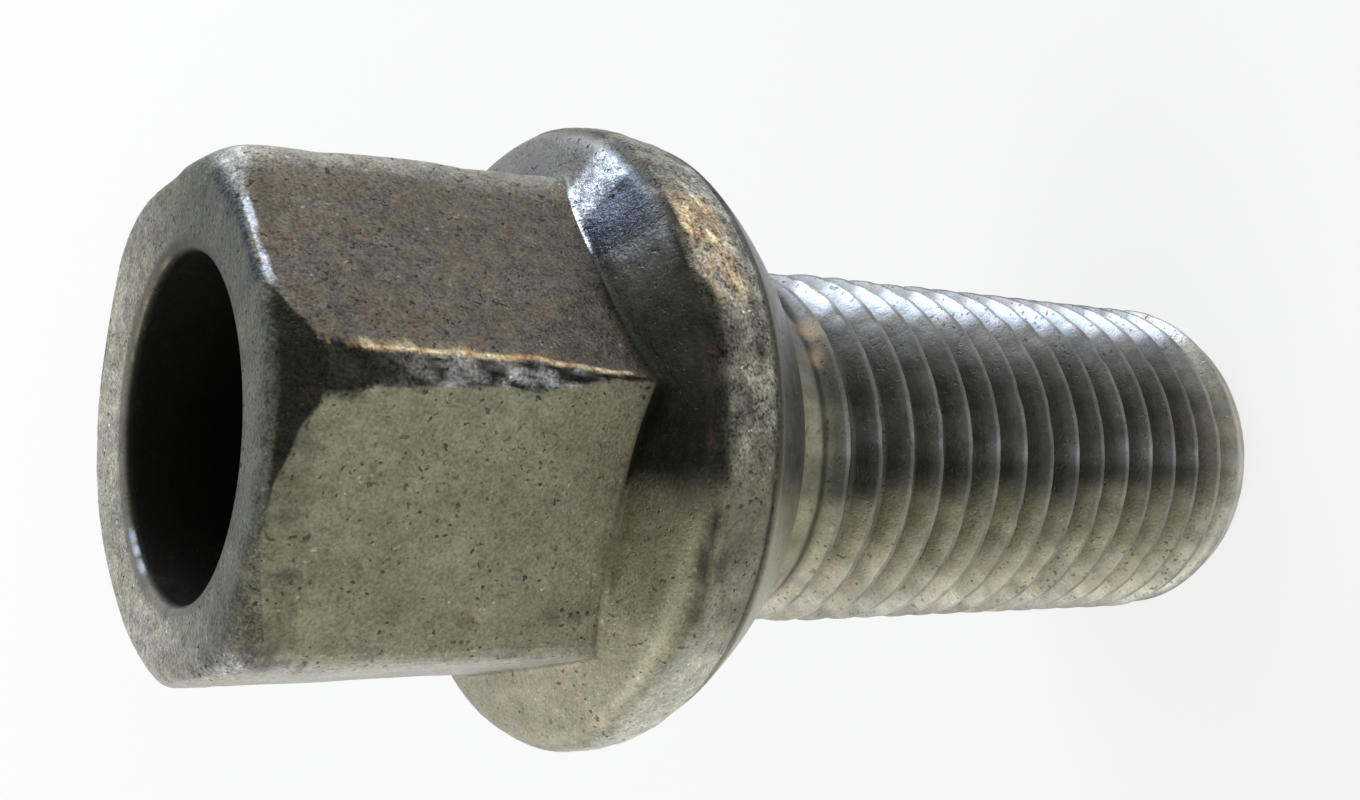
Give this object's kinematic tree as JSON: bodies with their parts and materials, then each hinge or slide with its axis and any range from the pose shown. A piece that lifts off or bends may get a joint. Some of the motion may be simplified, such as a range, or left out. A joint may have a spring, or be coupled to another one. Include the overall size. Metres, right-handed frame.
{
  "type": "wheel bolt",
  "caption": "One-piece wheel bolt: hollow hexagon head, collar with a ball seat, short neck and metric threaded shank.",
  "frame": {"origin": "middle of the flat end face of the threaded shank", "axes": "+Z along the bolt's axis towards the head, with a corner of the hexagon on +X"},
  "size_m": [0.0226, 0.0226, 0.0458],
  "materials": {
    "plated_steel": "dull yellow zinc plating over forged steel, worn on the flats and corners"
  },
  "bodies": {
    "root": {"wheel_bolt": "plated_steel"}
  },
  "joints": []
}
